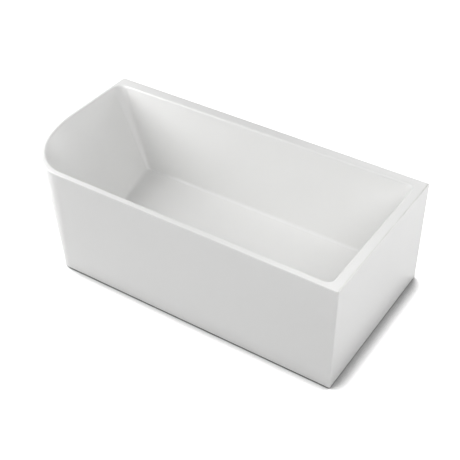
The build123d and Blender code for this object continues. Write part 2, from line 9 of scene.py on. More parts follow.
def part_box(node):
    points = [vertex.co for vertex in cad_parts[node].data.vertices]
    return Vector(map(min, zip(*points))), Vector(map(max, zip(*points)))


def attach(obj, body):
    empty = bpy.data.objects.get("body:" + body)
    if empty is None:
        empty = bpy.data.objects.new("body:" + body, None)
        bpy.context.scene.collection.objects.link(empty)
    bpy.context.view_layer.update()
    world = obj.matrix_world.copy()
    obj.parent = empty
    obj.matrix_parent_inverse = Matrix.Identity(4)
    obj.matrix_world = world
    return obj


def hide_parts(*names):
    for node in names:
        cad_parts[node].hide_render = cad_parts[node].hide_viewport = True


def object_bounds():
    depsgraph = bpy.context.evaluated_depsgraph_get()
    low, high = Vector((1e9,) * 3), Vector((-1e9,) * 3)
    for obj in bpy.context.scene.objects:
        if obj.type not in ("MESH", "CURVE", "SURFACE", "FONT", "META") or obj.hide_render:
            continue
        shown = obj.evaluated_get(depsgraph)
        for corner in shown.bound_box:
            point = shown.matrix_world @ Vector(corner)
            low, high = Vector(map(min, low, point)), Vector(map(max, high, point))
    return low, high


bl_info = {
    "name": "Corner bath finish",
    "version": (1, 0, 0),
    "blender": (4, 5, 0),
    "location": "3D View > Sidebar > Bath",
    "description": "Finishes, threaded hardware and studio for a freestanding corner bath",
    "category": "Add Mesh",
}

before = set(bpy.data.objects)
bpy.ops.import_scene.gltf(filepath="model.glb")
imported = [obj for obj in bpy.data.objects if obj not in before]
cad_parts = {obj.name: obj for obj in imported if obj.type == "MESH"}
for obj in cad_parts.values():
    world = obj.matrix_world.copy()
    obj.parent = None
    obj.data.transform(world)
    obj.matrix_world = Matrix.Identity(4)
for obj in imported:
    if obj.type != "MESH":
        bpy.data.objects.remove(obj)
cad_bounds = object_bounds()

FOOT_NUMBERS = range(1, 7)
UP = Vector((0, 0, 1))
ROUND_STEPS = 48
STUD_STEPS = 24
SCREW_STEPS = 16
HOSE_SIDES = 24
HOSE_BORE_RINGS = 24
MERGE_DISTANCE = 1e-7
SHARP_ANGLE = math.radians(35)
HEX_CHAMFER_ANGLE = math.radians(30)
HEX_FACE_SHARE = 0.47
CONTACT_LEAN = {"X": -0.5, "Y": 0.12, "Z": 0.86}
CONTACT_SHADE = {"From Min": 0.4, "From Max": 0.78}


def box_middle(node):
    """Middle of a node's box."""
    low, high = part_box(node)
    return (low + high) / 2


def box_reach(node, axis):
    """Lowest and highest place of a node along one axis, 0 for X to 2 for Z."""
    low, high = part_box(node)
    return low[axis], high[axis]


class BathFinishSettings(bpy.types.PropertyGroup):
    """Colours and surfaces of the bath's materials."""

    acrylic_colour: FloatVectorProperty(
        name="Acrylic",
        description="Colour of the white acrylic sheet",
        subtype="COLOR",
        default=(0.83, 0.83, 0.822),
    )
    acrylic_roughness: FloatProperty(
        name="Acrylic roughness",
        description="How much the polished sheet scatters what it mirrors",
        subtype="FACTOR",
        min=0.0,
        max=1.0,
        default=0.32,
    )
    acrylic_ripple: FloatProperty(
        name="Acrylic ripple",
        description="Height of the slight waves that vacuum forming leaves in the sheet",
        subtype="DISTANCE",
        unit="LENGTH",
        default=0.00006,
    )
    fibre_colour: FloatVectorProperty(
        name="Fibre backing",
        description="Colour of the resin and glass fibre behind the acrylic",
        subtype="COLOR",
        default=(0.62, 0.63, 0.54),
    )
    strand_colour: FloatVectorProperty(
        name="Fibre strands",
        description="Colour of the strands that show in the resin",
        subtype="COLOR",
        default=(0.78, 0.79, 0.74),
    )
    fibre_relief: FloatProperty(
        name="Fibre relief",
        description="Height of the strands over the resin",
        subtype="DISTANCE",
        unit="LENGTH",
        default=0.0006,
    )
    board_colour: FloatVectorProperty(
        name="Board",
        description="Colour of the pale chips in the board",
        subtype="COLOR",
        default=(0.52, 0.37, 0.2),
    )
    board_dark_colour: FloatVectorProperty(
        name="Board, dark chips",
        description="Colour of the dark chips in the board",
        subtype="COLOR",
        default=(0.27, 0.17, 0.08),
    )
    galvanised_colour: FloatVectorProperty(
        name="Galvanised steel",
        description="Colour of the zinc crystals on the frame",
        subtype="COLOR",
        default=(0.46, 0.48, 0.5),
    )
    zinc_colour: FloatVectorProperty(
        name="Zinc plate",
        description="Colour of the plated screws, nuts and studs",
        subtype="COLOR",
        default=(0.6, 0.6, 0.57),
    )
    chrome_colour: FloatVectorProperty(
        name="Chrome",
        description="Colour of the chromed waste and overflow",
        subtype="COLOR",
        default=(0.72, 0.73, 0.74),
    )
    brass_colour: FloatVectorProperty(
        name="Brass",
        description="Colour of the plug's stem",
        subtype="COLOR",
        default=(0.56, 0.38, 0.12),
    )
    white_plastic_colour: FloatVectorProperty(
        name="White plastic",
        description="Colour of the waste and overflow bodies",
        subtype="COLOR",
        default=(0.7, 0.7, 0.68),
    )
    hose_colour: FloatVectorProperty(
        name="Hose",
        description="Colour of the overflow hose",
        subtype="COLOR",
        default=(0.27, 0.28, 0.29),
    )
    black_plastic_colour: FloatVectorProperty(
        name="Black plastic",
        description="Colour of the foot pads",
        subtype="COLOR",
        default=(0.02, 0.02, 0.022),
    )
    rubber_colour: FloatVectorProperty(
        name="Rubber",
        description="Colour of the gaskets and the plug's seal",
        subtype="COLOR",
        default=(0.014, 0.014, 0.014),
    )


class BathHardwareSettings(bpy.types.PropertyGroup):
    """Sizes of the threaded hardware and the hose."""

    stud_pitch: FloatProperty(
        name="Stud pitch",
        description="Distance between the turns of a foot stud's thread",
        subtype="DISTANCE",
        unit="LENGTH",
        default=0.00175,
    )
    stud_thread_depth: FloatProperty(
        name="Stud thread depth",
        description="Depth of a foot stud's thread",
        subtype="DISTANCE",
        unit="LENGTH",
        default=0.00095,
    )
    screw_pitch: FloatProperty(
        name="Screw pitch",
        description="Distance between the turns of a screw's thread",
        subtype="DISTANCE",
        unit="LENGTH",
        default=0.0016,
    )
    screw_thread_depth: FloatProperty(
        name="Screw thread depth",
        description="Depth of a screw's thread",
        subtype="DISTANCE",
        unit="LENGTH",
        default=0.0005,
    )
    screw_washer_radius: FloatProperty(
        name="Screw washer radius",
        description="Radius of the washer under a screw's head",
        subtype="DISTANCE",
        unit="LENGTH",
        default=0.0062,
    )
    nut_flats: FloatProperty(
        name="Nut width",
        description="Width of the foot nuts across their flats",
        subtype="DISTANCE",
        unit="LENGTH",
        default=0.019,
    )
    nut_clearance: FloatProperty(
        name="Nut clearance",
        description="Gap between a stud's thread and its nut",
        subtype="DISTANCE",
        unit="LENGTH",
        default=0.0001,
    )
    screw_radius: FloatProperty(
        name="Screw radius",
        description="Radius of a screw over its thread",
        subtype="DISTANCE",
        unit="LENGTH",
        default=0.002,
    )
    screw_head: FloatProperty(
        name="Screw head height",
        description="Height of a screw's head with its washer",
        subtype="DISTANCE",
        unit="LENGTH",
        default=0.003,
    )
    screw_flats: FloatProperty(
        name="Screw head width",
        description="Width of the screws' heads across their flats",
        subtype="DISTANCE",
        unit="LENGTH",
        default=0.008,
    )
    bracket_screw_setback: FloatProperty(
        name="Bracket screw setback",
        description="Distance of a bracket's screw from the bracket's outer end",
        subtype="DISTANCE",
        unit="LENGTH",
        default=0.018,
    )
    board_screws_per_bay: IntProperty(
        name="Board screws per bay",
        description="Board screws between two neighbouring feet of a rail",
        default=2,
    )
    hose_rib_pitch: FloatProperty(
        name="Hose rib pitch",
        description="Distance between the ribs of the overflow hose",
        subtype="DISTANCE",
        unit="LENGTH",
        default=0.006,
    )
    hose_rib_depth: FloatProperty(
        name="Hose rib depth",
        description="Depth of the grooves between the hose's ribs",
        subtype="DISTANCE",
        unit="LENGTH",
        default=0.0018,
    )
    hose_bend_radius: FloatProperty(
        name="Hose bend radius",
        description="Radius of the hose's one bend",
        subtype="DISTANCE",
        unit="LENGTH",
        default=0.06,
    )
    hose_cuff: FloatProperty(
        name="Hose cuff",
        description="Length of the plain cuff at each end of the hose",
        subtype="DISTANCE",
        unit="LENGTH",
        default=0.018,
    )
    hose_wall: FloatProperty(
        name="Hose wall",
        description="Thickness of the hose at its cuffs",
        subtype="DISTANCE",
        unit="LENGTH",
        default=0.0028,
    )
    clip_width: FloatProperty(
        name="Clip width",
        description="Width of a hose clip's band",
        subtype="DISTANCE",
        unit="LENGTH",
        default=0.008,
    )
    clip_clearance: FloatProperty(
        name="Clip clearance",
        description="Gap between a clip's band and the hose",
        subtype="DISTANCE",
        unit="LENGTH",
        default=0.0002,
    )


class BathStageSettings(bpy.types.PropertyGroup):
    """Camera, lights and floor of the picture."""

    camera_place: FloatVectorProperty(
        name="Camera place",
        description="Where the camera stands",
        subtype="TRANSLATION",
        unit="LENGTH",
        default=(1.9849, -2.9359, 3.0216),
    )
    camera_azimuth: FloatProperty(
        name="Camera azimuth",
        description="Turn of the camera round the bath, 0 looks along +Y",
        subtype="ANGLE",
        default=math.radians(32.992),
    )
    camera_elevation: FloatProperty(
        name="Camera elevation",
        description="How far the camera looks down",
        subtype="ANGLE",
        default=math.radians(38.567),
    )
    camera_roll: FloatProperty(
        name="Camera roll",
        description="Turn of the camera about its own line of sight",
        subtype="ANGLE",
        default=math.radians(0.138),
    )
    camera_lens: FloatProperty(
        name="Lens",
        description="Focal length of the camera, in millimetres",
        default=75.375,
    )
    left_power: FloatProperty(
        name="Left light",
        description="Power of the light beside the left-hand end",
        subtype="POWER",
        unit="POWER",
        default=50.0,
    )
    right_power: FloatProperty(
        name="Right light",
        description="Power of the high light at the front right",
        subtype="POWER",
        unit="POWER",
        default=28.0,
    )
    front_power: FloatProperty(
        name="Front light",
        description="Power of the low light at the front",
        subtype="POWER",
        unit="POWER",
        default=11.0,
    )
    end_power: FloatProperty(
        name="End light",
        description="Power of the low light behind the right-hand end",
        subtype="POWER",
        unit="POWER",
        default=13.0,
    )
    back_power: FloatProperty(
        name="Back light",
        description="Power of the low light behind the back side",
        subtype="POWER",
        unit="POWER",
        default=15.0,
    )
    light_distance: FloatProperty(
        name="Light distance",
        description="Distance of the lights from the middle of the bath",
        subtype="DISTANCE",
        unit="LENGTH",
        default=2.5,
    )
    light_size: FloatProperty(
        name="Light size",
        description="Width and height of each light",
        subtype="DISTANCE",
        unit="LENGTH",
        default=1.3,
    )
    room_light: FloatProperty(
        name="Room light",
        description="Strength of the even light from all round",
        default=0.03,
    )
    floor_colour: FloatVectorProperty(
        name="Floor",
        description="Colour of the pale floor",
        subtype="COLOR",
        default=(0.8, 0.8, 0.8),
    )
    floor_glow: FloatProperty(
        name="Floor whitening",
        description="What the camera sees added to the floor near the bath, so that it looks white",
        default=0.8,
    )
    floor_near: FloatProperty(
        name="Lit floor",
        description="Radius of the lit floor; well past it the floor is as white as the backdrop",
        subtype="DISTANCE",
        unit="LENGTH",
        default=1.3,
    )
    contact_tone: FloatProperty(
        name="Contact tone",
        description="How light the floor is at the skirt's edge, as a share of the open floor",
        subtype="FACTOR",
        min=0.0,
        max=1.0,
        default=0.3,
    )
    contact_reach: FloatProperty(
        name="Contact shadow",
        description="How far from the skirt its contact shadow reaches on the floor",
        subtype="DISTANCE",
        unit="LENGTH",
        default=0.12,
    )
    floor_size: FloatProperty(
        name="Floor size",
        description="Half the width of the floor",
        subtype="DISTANCE",
        unit="LENGTH",
        default=12.0,
    )


# Material building


def shader_node(tree, kind, values=None, **settings):
    """A new shader node, with its settings and the values of its inputs."""
    node = tree.nodes.new("ShaderNode" + kind)
    for name, value in settings.items():
        setattr(node, name, value)
    for socket, value in (values or {}).items():
        node.inputs[socket].default_value = value
    return node


def math_node(tree, operation, first, second=None):
    """A math node on sockets or plain numbers; gives back its output."""
    node = shader_node(tree, "Math", operation=operation)
    for index, value in enumerate((first, second)):
        if isinstance(value, bpy.types.NodeSocket):
            tree.links.new(value, node.inputs[index])
        elif value is not None:
            node.inputs[index].default_value = value
    return node.outputs[0]


def start_material(name, roughness, metallic=0.0):
    """A new material; gives its tree, its shader and its object coordinates."""
    material = bpy.data.materials.new(name)
    material.use_nodes = True
    tree = material.node_tree
    shader = tree.nodes["Principled BSDF"]
    shader.inputs["Roughness"].default_value = roughness
    shader.inputs["Metallic"].default_value = metallic
    place = shader_node(tree, "TexCoord").outputs["Object"]
    return material, tree, shader, place


def noise_pattern(tree, place, scale, detail=2.0):
    """Even cloudy pattern between 0 and 1, scale per metre."""
    noise = shader_node(tree, "TexNoise", {"Scale": scale, "Detail": detail})
    tree.links.new(place, noise.inputs["Vector"])
    return noise.outputs["Fac"]


def spread(tree, pattern, low, high):
    """The pattern's middle range stretched between two numbers."""
    node = shader_node(
        tree, "MapRange", {"From Min": 0.3, "From Max": 0.7, "To Min": low, "To Max": high}
    )
    tree.links.new(pattern, node.inputs["Value"])
    return node.outputs["Result"]


def colour_mix(tree, pattern, first, second):
    """Colour between two colours or sockets, by a pattern."""
    node = shader_node(tree, "Mix", data_type="RGBA")
    tree.links.new(pattern, node.inputs["Factor"])
    for name, value in (("A", first), ("B", second)):
        socket = next(s for s in node.inputs if s.name == name and s.type == "RGBA")
        if isinstance(value, bpy.types.NodeSocket):
            tree.links.new(value, socket)
        else:
            socket.default_value = (*value, 1.0)
    return next(s for s in node.outputs if s.type == "RGBA")


def shaded(colour, share):
    """The colour made darker or lighter by a share."""
    return tuple(min(1.0, channel * share) for channel in colour)


def relief(tree, shader, height, distance):
    """Bump of a pattern's height, in metres."""
    bump = shader_node(tree, "Bump", {"Distance": distance, "Strength": 1.0})
    tree.links.new(height, bump.inputs["Height"])
    tree.links.new(bump.outputs["Normal"], shader.inputs["Normal"])


def strand_pattern(tree, place, turn):
    """Streaks of chopped strands that lie in one direction."""
    mapping = shader_node(tree, "Mapping", {"Rotation": turn, "Scale": (22.0, 420.0, 420.0)})
    tree.links.new(place, mapping.inputs["Vector"])
    streaks = noise_pattern(tree, mapping.outputs["Vector"], 1.0, 1.0)
    node = shader_node(tree, "MapRange", {"From Min": 0.55, "From Max": 0.7})
    tree.links.new(streaks, node.inputs["Value"])
    return node.outputs["Result"]


def crossed_strands(tree, place):
    """Strands in several directions, the brightest on top."""
    turns = ((0.3, 0.2, 0.1), (0.5, 1.2, 0.9), (1.9, 0.4, 1.7), (2.6, 2.1, 2.5), (0.9, 2.8, 0.4))
    pattern = strand_pattern(tree, place, turns[0])
    for turn in turns[1:]:
        pattern = math_node(tree, "MAXIMUM", pattern, strand_pattern(tree, place, turn))
    return pattern


def dotted(tree, first, second):
    """Dot product of two vector sockets."""
    node = shader_node(tree, "VectorMath", operation="DOT_PRODUCT")
    tree.links.new(first, node.inputs[0])
    tree.links.new(second, node.inputs[1])
    return node.outputs["Value"]


def underside_mask(tree):
    """1 on faces that look down, which on the basin are its backed faces."""
    parts = shader_node(tree, "SeparateXYZ")
    tree.links.new(shader_node(tree, "TexCoord").outputs["Normal"], parts.inputs[0])
    return math_node(tree, "LESS_THAN", parts.outputs["Z"], -0.01)


def inward_mask(tree, middle):
    """1 on faces that look towards a middle point, which on the skirt are its backed faces."""
    coordinates = shader_node(tree, "TexCoord")
    away = shader_node(tree, "VectorMath", operation="SUBTRACT")
    away.inputs[1].default_value = middle
    tree.links.new(coordinates.outputs["Object"], away.inputs[0])
    facing = dotted(tree, away.outputs["Vector"], coordinates.outputs["Normal"])
    return math_node(tree, "LESS_THAN", facing, 0.0)


def acrylic_material(name, finish, backed_faces):
    """Polished acrylic, and fibre in resin on the faces that backed_faces picks."""
    material, tree, shader, place = start_material(name, finish.acrylic_roughness)
    backed = backed_faces(tree)
    strands = crossed_strands(tree, place)
    resin = spread(tree, noise_pattern(tree, place, 9.0, 3.0), 0.0, 0.5)
    fibre = colour_mix(
        tree, math_node(tree, "MAXIMUM", strands, resin), finish.fibre_colour, finish.strand_colour
    )
    cloud = spread(tree, noise_pattern(tree, place, 3.0), 0.0, 1.0)
    sheet = colour_mix(tree, cloud, shaded(finish.acrylic_colour, 0.992), finish.acrylic_colour)
    tree.links.new(colour_mix(tree, backed, sheet, fibre), shader.inputs["Base Color"])
    gloss = finish.acrylic_roughness
    polish = spread(tree, noise_pattern(tree, place, 6.0, 0.0), gloss * 0.96, gloss * 1.04)
    rough = math_node(tree, "MULTIPLY", backed, 0.35)
    tree.links.new(math_node(tree, "ADD", polish, rough), shader.inputs["Roughness"])
    ripple = math_node(tree, "MULTIPLY", noise_pattern(tree, place, 11.0, 1.0), finish.acrylic_ripple)
    lumps = math_node(tree, "MULTIPLY", strands, finish.fibre_relief)
    height = math_node(tree, "ADD", ripple, math_node(tree, "MULTIPLY", lumps, backed))
    relief(tree, shader, height, 1.0)
    return material


def board_material(finish):
    """Chipboard under a coat of clear resin."""
    material, tree, shader, place = start_material("sealed_board", 0.45)
    chips = shader_node(tree, "TexVoronoi", {"Scale": 260.0, "Randomness": 1.0})
    stretch = shader_node(tree, "Mapping", {"Scale": (1.0, 0.45, 2.5)})
    tree.links.new(place, stretch.inputs["Vector"])
    tree.links.new(stretch.outputs["Vector"], chips.inputs["Vector"])
    split = shader_node(tree, "SeparateColor")
    tree.links.new(chips.outputs["Color"], split.inputs[0])
    pattern = math_node(tree, "MULTIPLY", split.outputs[0], split.outputs[1])
    colour = colour_mix(tree, pattern, finish.board_colour, finish.board_dark_colour)
    tree.links.new(colour, shader.inputs["Base Color"])
    coat = spread(tree, noise_pattern(tree, place, 30.0, 3.0), 0.3, 0.6)
    tree.links.new(coat, shader.inputs["Roughness"])
    relief(tree, shader, split.outputs[0], 0.00015)
    return material


def galvanised_material(finish):
    """Steel with the crystals of hot-dip zinc."""
    material, tree, shader, place = start_material("galvanised_steel", 0.42, 1.0)
    crystals = shader_node(tree, "TexVoronoi", {"Scale": 140.0, "Randomness": 1.0})
    tree.links.new(place, crystals.inputs["Vector"])
    split = shader_node(tree, "SeparateColor")
    tree.links.new(crystals.outputs["Color"], split.inputs[0])
    dark = shaded(finish.galvanised_colour, 0.78)
    bright = shaded(finish.galvanised_colour, 1.15)
    colour = colour_mix(tree, split.outputs[0], dark, bright)
    tree.links.new(colour, shader.inputs["Base Color"])
    gloss = spread(tree, split.outputs[1], 0.34, 0.5)
    tree.links.new(gloss, shader.inputs["Roughness"])
    relief(tree, shader, noise_pattern(tree, place, 90.0, 3.0), 0.00008)
    return material


def plain_metal_material(name, colour, low, high, grain, depth):
    """Metal whose gloss varies between two roughnesses, with a fine grain."""
    material, tree, shader, place = start_material(name, (low + high) / 2, 1.0)
    tone = spread(tree, noise_pattern(tree, place, grain / 8, 3.0), 0.0, 1.0)
    tree.links.new(colour_mix(tree, tone, shaded(colour, 0.93), colour), shader.inputs["Base Color"])
    gloss = spread(tree, noise_pattern(tree, place, grain / 3, 3.0), low, high)
    tree.links.new(gloss, shader.inputs["Roughness"])
    relief(tree, shader, noise_pattern(tree, place, grain), depth)
    return material


def moulded_material(name, colour, roughness, grain, depth):
    """Moulded plastic or rubber with a fine grain."""
    material, tree, shader, place = start_material(name, roughness)
    tone = spread(tree, noise_pattern(tree, place, grain / 40, 3.0), 0.0, 1.0)
    tree.links.new(colour_mix(tree, tone, shaded(colour, 0.88), colour), shader.inputs["Base Color"])
    gloss = spread(tree, noise_pattern(tree, place, grain / 12), roughness * 0.85, roughness * 1.1)
    tree.links.new(gloss, shader.inputs["Roughness"])
    relief(tree, shader, noise_pattern(tree, place, grain), depth)
    return material


def turned_brass_material(finish):
    """Brass with the fine rings that turning leaves round its axis."""
    material, tree, shader, place = start_material("turned_brass", 0.28, 1.0)
    rings = shader_node(
        tree, "TexWave", {"Scale": 600.0, "Distortion": 0.4}, wave_type="BANDS", bands_direction="Z"
    )
    tree.links.new(place, rings.inputs["Vector"])
    tone = spread(tree, noise_pattern(tree, place, 120.0), 0.0, 1.0)
    colour = colour_mix(tree, tone, shaded(finish.brass_colour, 0.85), finish.brass_colour)
    tree.links.new(colour, shader.inputs["Base Color"])
    gloss = spread(tree, noise_pattern(tree, place, 200.0), 0.22, 0.34)
    tree.links.new(gloss, shader.inputs["Roughness"])
    relief(tree, shader, rings.outputs["Fac"], 0.00003)
    return material


def zinc_material(finish):
    """Bright zinc plate of the screws, nuts, studs and clips, made once."""
    made = bpy.data.materials.get("zinc_plate")
    return made or plain_metal_material("zinc_plate", finish.zinc_colour, 0.26, 0.4, 900.0, 0.00002)


def chrome_material(finish):
    """Chrome plate of the waste and the overflow."""
    return plain_metal_material("chrome_plate", finish.chrome_colour, 0.05, 0.1, 300.0, 0.000002)


def use_material(material, *nodes):
    """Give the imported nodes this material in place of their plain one."""
    for name in nodes:
        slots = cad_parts[name].material_slots
        if slots:
            slots[0].material = material
        else:
            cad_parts[name].data.materials.append(material)


# Mesh building


def finish_piece(name, mesh_work, material, body, slot, *replaced):
    """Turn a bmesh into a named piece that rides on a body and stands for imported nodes."""
    bmesh.ops.recalc_face_normals(mesh_work, faces=mesh_work.faces)
    mesh = bpy.data.meshes.new(name)
    mesh_work.to_mesh(mesh)
    mesh_work.free()
    mesh.materials.append(material)
    mesh.shade_smooth()
    mesh.set_sharp_from_angle(angle=SHARP_ANGLE)
    piece = bpy.data.objects.new(name, mesh)
    bpy.context.scene.collection.objects.link(piece)
    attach(piece, body)
    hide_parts(*replaced)


def spun_profile(points, centre):
    """A round piece from a profile of (radius, height) points, spun round the upright line at centre."""
    work = bmesh.new()
    verts = [work.verts.new((centre.x + radius, centre.y, height)) for radius, height in points]
    edges = [work.edges.new(pair) for pair in zip(verts, verts[1:])]
    bmesh.ops.spin(
        work, geom=verts + edges, cent=centre, axis=UP, angle=math.tau, steps=ROUND_STEPS, use_merge=True
    )
    bmesh.ops.remove_doubles(work, verts=work.verts, dist=MERGE_DISTANCE)
    return work


def spun_ring(inner, outer, low, high, chamfer, centre):
    """A flat ring with its outer edges chamfered."""
    points = [
        (inner, low),
        (outer - chamfer, low),
        (outer, low + chamfer),
        (outer, high - chamfer),
        (outer - chamfer, high),
        (inner, high),
        (inner, low),
    ]
    return spun_profile(points, centre)


def cut_flat(work, point, normal):
    """Take away what lies beyond a plane and close the cut; gives back the closing edge."""
    cut = bmesh.ops.bisect_plane(
        work,
        geom=[*work.verts, *work.edges, *work.faces],
        dist=MERGE_DISTANCE,
        plane_co=point,
        plane_no=normal,
        clear_outer=True,
    )
    rim = [part for part in cut["geom_cut"] if isinstance(part, bmesh.types.BMEdge)]
    bmesh.ops.holes_fill(work, edges=rim, sides=0)
    return rim


def hexagon(centre, low, high, flats, bore=0.0):
    """A hexagonal nut or head between two heights, with the round chamfer that turning leaves."""
    corner = flats / math.sqrt(3)
    face = flats * HEX_FACE_SHARE
    slope = math.tan(HEX_CHAMFER_ANGLE) * (corner - face)
    points = [(bore, low), (face, low), (corner, low + slope), (corner, high - slope), (face, high)]
    points.append((bore, high))
    if bore > 0:
        points.append((bore, low))
    work = spun_profile(points, centre)
    for turn in range(6):
        side = Matrix.Rotation(math.tau * turn / 6, 3, "Z") @ Vector((1, 0, 0))
        cut_flat(work, centre + side * flats / 2, side)
    return work


def threaded_rod(centre, low, high, radius, pitch, depth, steps=STUD_STEPS):
    """A rod with a rolled thread between two heights, closed flat and chamfered at both ends."""
    work = bmesh.new()
    root = radius - depth
    verts = []
    for number in range(math.ceil((high - low) / pitch) + 4):
        foot = low + (number - 2.5) * pitch
        for share, out in ((0.0, root), (0.125, root), (0.45, radius), (0.6, radius)):
            verts.append(work.verts.new((centre.x + out, centre.y, foot + share * pitch)))
    edges = [work.edges.new(pair) for pair in zip(verts, verts[1:])]
    bmesh.ops.spin(
        work,
        geom=verts + edges,
        cent=centre,
        axis=UP,
        dvec=UP * pitch / steps,
        angle=math.tau,
        steps=steps,
        use_merge=False,
    )
    bmesh.ops.remove_doubles(work, verts=work.verts, dist=pitch * 0.02)
    for height, way in ((low, -UP), (high, UP)):
        rim = cut_flat(work, Vector((centre.x, centre.y, height)), way)
        ends = list({vert for edge in rim if edge.is_valid for vert in edge.verts})
        narrowed = Vector((root / radius, root / radius, 1))
        bmesh.ops.scale(work, vec=narrowed, space=Matrix.Translation(-centre), verts=ends)
    return work


def joined(works):
    """One bmesh from several."""
    whole = bmesh.new()
    for work in works:
        part = bpy.data.meshes.new("part")
        work.to_mesh(part)
        work.free()
        whole.from_mesh(part)
        bpy.data.meshes.remove(part)
    return whole


def screw(centre, seat, tip, head, hardware, way):
    """A hexagon screw with its washer; way is 1 where the head is on top and -1 where it hangs."""
    washer = head / 4
    low, high = sorted((seat, seat + way * washer))
    under, top = sorted((seat + way * washer, seat + way * head))
    shank_low, shank_high = sorted((tip, seat))
    return (
        spun_ring(hardware.screw_radius, hardware.screw_washer_radius, low, high, washer / 4, centre),
        hexagon(centre, under, top, hardware.screw_flats),
        threaded_rod(
            centre,
            shank_low,
            shank_high,
            hardware.screw_radius,
            hardware.screw_pitch,
            hardware.screw_thread_depth,
            SCREW_STEPS,
        ),
    )


def board_screw_places(hardware):
    """Board screws, evenly spaced between the feet under each rail."""
    feet = sorted({round(centre.x, 4) for centre in foot_centres()})
    sides = sorted({round(centre.y, 4) for centre in foot_centres()})
    count = hardware.board_screws_per_bay
    for first, last in zip(feet, feet[1:]):
        for number in range(1, count + 1):
            for side in sides:
                yield Vector((first + (last - first) * number / (count + 1), side, 0))


def bracket_screw_places(hardware):
    """One screw near the outer end of each bracket of the skirt."""
    for name in sorted(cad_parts):
        if name.startswith("skirt_bracket"):
            axis = 1 if "front" in name or "back" in name else 0
            place = box_middle(name) * Vector((1, 1, 0))
            outward = 1 if place[axis] > 0 else -1
            outer = max(box_reach(name, axis), key=abs)
            place[axis] = outer - outward * hardware.bracket_screw_setback
            yield place


def hose_frame(distance, radius, start, upright, centre_y, bend):
    """Where a ring of the hose lies, and how it is turned and sized, at a distance along it."""
    straight = upright - bend - start.x
    arc = bend * math.pi / 2
    if distance < straight:
        place, turn = Vector((start.x + distance, centre_y, start.z)), 0.0
    elif distance < straight + arc:
        turn = (distance - straight) / bend
        along = upright - bend + bend * math.sin(turn)
        place = Vector((along, centre_y, start.z + bend - bend * math.cos(turn)))
    else:
        place, turn = Vector((upright, centre_y, start.z + bend + distance - straight - arc)), math.pi / 2
    aim = Matrix.Rotation(math.pi / 2 - turn, 4, "Y")
    return Matrix.Translation(place) @ aim @ Matrix.Diagonal((radius, radius, radius, 1))


def hose_stations(length, outer, bore, hardware):
    """Distances and radii of the hose's rings: cuff, ribs, cuff, and back through the bore."""
    cuff = hardware.hose_cuff
    ribs = round((length - 2 * cuff) / hardware.hose_rib_pitch)
    pitch = (length - 2 * cuff) / ribs
    stations = [(0.0, outer)]
    for rib in range(ribs):
        for share, depth in ((0.0, 0.0), (0.3, 0.1), (0.4, 0.8), (0.5, 1.0), (0.7, 1.0), (0.85, 0.5)):
            stations.append((cuff + (rib + share) * pitch, outer - depth * hardware.hose_rib_depth))
    stations += [(length - cuff, outer), (length, outer), (length, bore)]
    rings = range(1, HOSE_BORE_RINGS + 1)
    stations += [(length * (1 - ring / HOSE_BORE_RINGS), bore) for ring in rings]
    stations.append((0.0, outer))
    return stations


def ribbed_hose(hardware):
    """The hose from the waste to the overflow, as one closed tube."""
    low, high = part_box("overflow_hose")
    outer = (high.y - low.y) / 2
    bend = hardware.hose_bend_radius
    start = Vector((low.x, 0, low.z + outer))
    upright = high.x - outer
    length = upright - bend - start.x + bend * math.pi / 2 + high.z - start.z - bend
    work = bmesh.new()
    ring = bmesh.ops.create_circle(work, segments=HOSE_SIDES, radius=1.0)["verts"]
    edges = list({edge for vert in ring for edge in vert.link_edges})
    last = Matrix.Identity(4)
    stations = hose_stations(length, outer, outer - hardware.hose_wall, hardware)
    for number, (distance, radius) in enumerate(stations):
        if number:
            made = bmesh.ops.extrude_edge_only(work, edges=edges)["geom"]
            ring = [part for part in made if isinstance(part, bmesh.types.BMVert)]
            edges = [
                part
                for part in made
                if isinstance(part, bmesh.types.BMEdge) and all(vert in ring for vert in part.verts)
            ]
        here = hose_frame(distance, radius, start, upright, (low.y + high.y) / 2, bend)
        bmesh.ops.transform(work, matrix=here @ last.inverted(), verts=ring)
        last = here
    bmesh.ops.remove_doubles(work, verts=work.verts, dist=1e-5)
    return work


def worm_clip(radius, width, thickness):
    """A worm-drive clip round the Z axis, with its screw housing on the -Y side."""
    band = spun_ring(radius, radius + thickness, -width / 2, width / 2, thickness / 5, Vector())
    housing = bmesh.new()
    bmesh.ops.create_cube(housing, size=1.0)
    size = Vector((width * 1.4, width * 0.6, width * 1.1))
    bmesh.ops.scale(housing, vec=size, verts=housing.verts)
    bmesh.ops.bevel(
        housing,
        geom=housing.edges[:],
        offset=width * 0.1,
        offset_type="OFFSET",
        affect="EDGES",
        segments=2,
        profile=0.5,
        material=-1,
    )
    reach = radius + thickness + size.y / 2
    bmesh.ops.translate(housing, vec=Vector((0, -reach, 0)), verts=housing.verts)
    head = hexagon(Vector(), size.x / 2, size.x / 2 + width * 0.45, width * 0.75)
    turned = Matrix.Translation((0, -reach, 0)) @ Matrix.Rotation(math.pi / 2, 4, "Y")
    bmesh.ops.transform(head, matrix=turned, verts=head.verts)
    return joined((band, housing, head))


def hose_clips(hardware):
    """One clip on each cuff of the hose."""
    hose_low, hose_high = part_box("overflow_hose")
    clip_low, clip_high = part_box("hose_clips")
    outer = (hose_high.y - hose_low.y) / 2
    centre_y = (hose_low.y + hose_high.y) / 2
    inner = outer + hardware.clip_clearance
    width = hardware.clip_width
    thickness = clip_high.y - centre_y - inner
    level = worm_clip(inner, width, thickness)
    place = Matrix.Translation((clip_low.x + width / 2, centre_y, hose_low.z + outer))
    bmesh.ops.transform(level, matrix=place @ Matrix.Rotation(math.pi / 2, 4, "Y"), verts=level.verts)
    upright = worm_clip(inner, width, thickness)
    place = Vector((hose_high.x - outer, centre_y, clip_high.z - width / 2))
    bmesh.ops.translate(upright, vec=place, verts=upright.verts)
    return joined((level, upright))


